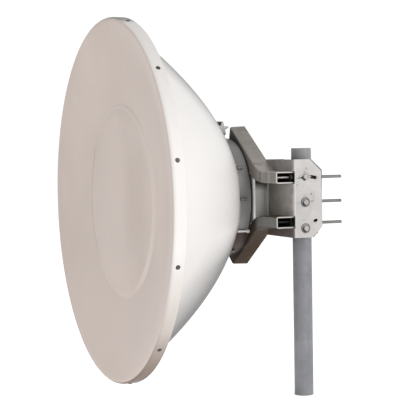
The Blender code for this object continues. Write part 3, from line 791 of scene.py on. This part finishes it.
# Side bolts: washer, on the round ones with a ring of painted contact shadow, then a disc of painted shadow
# under the head, and the head
HEAD_SHADOW_SHIFT = (-0.0030, -0.0034)
for level, z in BOLT_LEVELS.items():
    for hand, side in (("near", 1), ("far", -1)):
        matrix = frame_at((0, PIVOT_Y, z), (side, 0, 0))
        tail = level + "_" + hand
        x = SIDE_FACE_X[hand]
        bm = bmesh.new()
        sweep(bm, [(0, BOLT_INNER_X), (BOLT_RADIUS, BOLT_INNER_X), (BOLT_RADIUS, x + 0.0030),
                   (0.0072, x + 0.0030), (0.0076, x + 0.0034, "hex"), (0.0076, x + 0.0084, "hex"),
                   (0.0070, x + 0.0092), (0.0044, x + 0.0092), (0.0040, x + 0.0086), (0, x + 0.0086)],
              ROUND_BOLT, matrix)
        add_object("side_bolt_" + tail, bm, BOLT_HEAD, "clamp",
                   (level + "_bolt_" + hand,))
        if level == "upper":
            metal, taper, shadow_size = STAR_WASHER, 0.94, 0.66
        else:
            metal, taper, shadow_size = WASHER, 0.95, 0.58
            # Ring of painted contact shadow round the round washers
            bm = bmesh.new()
            sweep(bm, [(0.0143, x + CLEARANCE), (WASHER_RIM_RADIUS, x + CLEARANCE),
                       (WASHER_RIM_RADIUS, x + 0.0012), (0.0143, x + 0.0012)], ROUND_RIM, matrix, True)
            add_object("side_washer_shadow_" + tail, bm, WASHER_SHADOW, "clamp")
        flat_ring("side_washer_" + tail, level, x, side,
                  ((1.0, CLEARANCE), (1.0, 0.0018), (taper, 0.0022)), metal)
        # Disc of painted shadow under the head
        flat_ring("side_head_shadow_" + tail, level, x, side,
                  ((shadow_size, 0.00225), (shadow_size, 0.0026)), SHADOW_RING, HEAD_SHADOW_SHIFT)

# Screws that hold the arms on the bracket: head in the arm, shank, nut behind the plate
ARM_SCREW_PROFILE = [
    (0, -0.1266), (0.0060, -0.1266), (0.0065, -0.1261, "hex"), (0.0065, -0.1222, "hex"),
    (0.0040, -0.1216), (0.0040, -0.0702), (0.0060, -0.0702), (0.0065, -0.0697, "hex"),
    (0.0065, -0.0640, "hex"), (0.0060, -0.0632), (0, -0.0632)]
for hand, x in ARM_SCREW_X.items():
    # The lower screws' black is painted shade
    for level, side, metal in (("upper", 1, FASTENER), ("lower", -1, SCREW_IN_SHADE)):
        tail = level + "_" + hand
        bm = bmesh.new()
        sweep(bm, ARM_SCREW_PROFILE, ROUND_BOLT, frame_at((x, 0, AXIS_Z + side * ARM_LEVEL), (0, 1, 0)))
        add_object("arm_bolt_" + tail, bm, metal, "dish", ("arm_screw_" + tail,))

# Star knob: a lobed outline, stacked in layers of (scale, height)
KNOB = (-0.2997, -0.151, 0.8735)
KNOB_POINTS = 80
KNOB_LOBES = 5
KNOB_TURN = math.radians(85)
KNOB_CORE = 0.0125
LOBE_LENGTH = 0.0120
LOBE_POWER = 1.6
KNOB_LAYERS = [(0.90, 0.0), (1.0, 0.0012), (1.0, 0.0072), (0.94, 0.0092), (0.55, 0.0102), (0.20, 0.0108)]
outline = []
for i in range(KNOB_POINTS):
    a = 2 * math.pi * i / KNOB_POINTS
    wave = 0.5 + 0.5 * math.cos(KNOB_LOBES * (a - KNOB_TURN))
    r = KNOB_CORE + LOBE_LENGTH * wave ** LOBE_POWER
    outline.append((r * math.cos(a), r * math.sin(a)))
bm = bmesh.new()
layered(bm, [[(KNOB[0] + height, KNOB[1] + size * u, KNOB[2] + size * v) for u, v in outline]
             for size, height in KNOB_LAYERS])
add_object("star_knob_cast", bm, KNOB_METAL, "dish", ("star_knob",))

# Post and cap
bore = POLE_RADIUS - POLE_WALL
bm = bmesh.new()
sweep(bm, [(0, 0), (POLE_RADIUS - 0.0006, 0), (POLE_RADIUS, 0.0006), (POLE_RADIUS, POLE_TOP - 0.0005),
           (POLE_RADIUS - 0.0005, POLE_TOP), (bore, POLE_TOP), (bore, 0.005), (0, 0.005)],
      ROUND_POST, Matrix())
add_object("post_tube", bm, POLE_METAL, "mast", ("pole",))
bore = POLE_RADIUS + CLEARANCE
bm = bmesh.new()
sweep(bm, [(0, POLE_TOP + CLEARANCE), (bore, POLE_TOP + CLEARANCE), (bore, CAP_FOOT),
           (CAP_RADIUS - 0.0002, CAP_FOOT), (CAP_RADIUS, CAP_FOOT + 0.0004),
           (CAP_RADIUS, CAP_TOP - 0.0030), (CAP_RADIUS - 0.0006, CAP_TOP - 0.0012),
           (CAP_RADIUS - 0.0020, CAP_TOP - 0.0002), (0, CAP_TOP)], ROUND_POST, Matrix())
add_object("post_cap", bm, CAP_GREY, "mast", ("pole_cap",))

# Folded sheet pieces: copies of their solids with softened edges
bpy.context.view_layer.update()
SHEETS = {
    "upper_arm": (UPPER_ARM, "dish", "bracket_metal"),
    "lower_arm": (LOWER_ARM, "dish", "bracket_metal"),
    "arm_web": (WEB, "dish", "bracket_metal"),
    "mast_bracket": (BRACKET, "dish", "bracket_metal"),
    "knob_bracket": (DARK_BRACKET, "dish", "cap_plastic"),
    "pole_cradle": (CRADLE, "clamp", "zinc_steel"),
    "saddle_top": (CLAMP_METAL, "clamp", "zinc_steel"),
    "saddle_middle": (CLAMP_METAL, "clamp", "zinc_steel"),
    "saddle_bottom": (CLAMP_METAL, "clamp", "zinc_steel"),
}
EDGE_WIDTH = 0.0005
for node, (mat, body, slot) in SHEETS.items():
    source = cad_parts[node]
    mesh = source.data.copy()
    mesh.transform(source.matrix_world)
    obj = place_object(node + "_sheet", mesh, mat, body, (node,))
    edge = obj.modifiers.new("soft_edges", "BEVEL")
    edge.width = EDGE_WIDTH
    edge.segments = 2
    edge.limit_method = "ANGLE"
    edge.angle_limit = math.radians(50)
    edge.harden_normals = True

# Hidden feed parts keep their solids
for node in ("feed_horn", "feed_hub"):
    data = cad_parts[node].data
    data.materials.clear()
    data.materials.append(RING_METAL)

# Floor, a bright plane just under the post
FLOOR_REACH = 30
FLOOR_DROP = 0.0005
bm = bmesh.new()
bmesh.ops.create_grid(bm, x_segments=1, y_segments=1, size=FLOOR_REACH)
mesh = mesh_from(bm, "studio_floor")
floor = bpy.data.objects.new("studio_floor", mesh)
floor.location.z = -FLOOR_DROP
bpy.context.collection.objects.link(floor)
floor_mat = new_material("pale_floor")[0]
shader = surface(floor_mat, (0.92, 0.92, 0.92), 0.9, 0.0)
shader.inputs["Emission Color"].default_value = (1, 1, 1, 1)
shader.inputs["Emission Strength"].default_value = 0.50
mesh.materials.append(floor_mat)

# Surrounding light, brighter on the side away from the camera
BRIGHT_SIDE = (-0.92, 0.39, 0.0)
world = bpy.data.worlds.new("studio")
bpy.context.scene.world = world
world.use_nodes = True
tree = world.node_tree
direction = tree.nodes.new("ShaderNodeTexCoord")
toward = tree.nodes.new("ShaderNodeVectorMath")
toward.operation = "DOT_PRODUCT"
toward.inputs[1].default_value = BRIGHT_SIDE
tree.links.new(direction.outputs["Generated"], toward.inputs[0])
background = tree.nodes["Background"]
background.inputs["Color"].default_value = (1, 1, 1, 1)
tree.links.new(spread(tree, toward.outputs["Value"], 0.55, 1.05, 0.2, 0.9), background.inputs["Strength"])


def area_light(name, place, target, size, power, colour=(1, 1, 1)):
    data = bpy.data.lights.new(name, "AREA")
    data.shape = "SQUARE"
    data.size = size
    data.energy = power
    data.color = colour
    obj = bpy.data.objects.new(name, data)
    bpy.context.collection.objects.link(obj)
    obj.location = place
    aim = Vector(target) - Vector(place)
    obj.rotation_euler = aim.to_track_quat("-Z", "Y").to_euler()


area_light("key", (4.2, 1.4, 2.6), (0, -0.1, 0.6), size=2.0, power=108)
area_light("front", (3.9, -2.4, 1.5), (-0.1, -0.1, 0.6), size=1.0, power=10)
area_light("fill", (-1.0, -4.6, 2.0), (-0.3, -0.5, 0.6), size=2.5, power=30, colour=(1.0, 0.98, 0.95))

# Camera at the photograph's view
CAMERA_PLACE = (3.7770, -1.9126, 0.8112)
CAMERA_YAW = math.radians(-22.384)
CAMERA_PITCH = math.radians(-2.321)
CAMERA_ROLL = math.radians(-0.918)
CAMERA_LENS = 117.0
camera_data = bpy.data.cameras.new("photo_camera")
camera_data.sensor_width = 36
camera_data.lens = CAMERA_LENS
camera = bpy.data.objects.new("photo_camera", camera_data)
bpy.context.collection.objects.link(camera)
ahead = Vector((-math.cos(CAMERA_YAW) * math.cos(CAMERA_PITCH),
                -math.sin(CAMERA_YAW) * math.cos(CAMERA_PITCH), math.sin(CAMERA_PITCH)))
right = Vector((-math.sin(CAMERA_YAW), math.cos(CAMERA_YAW), 0))
up = right.cross(ahead)
turned_right = right * math.cos(CAMERA_ROLL) + up * math.sin(CAMERA_ROLL)
turned_up = up * math.cos(CAMERA_ROLL) - right * math.sin(CAMERA_ROLL)
camera.matrix_world = Matrix.Translation(CAMERA_PLACE) @ Matrix(
    (turned_right, turned_up, -ahead)).transposed().to_4x4()
bpy.context.scene.camera = camera
bpy.context.scene.view_settings.view_transform = "Standard"
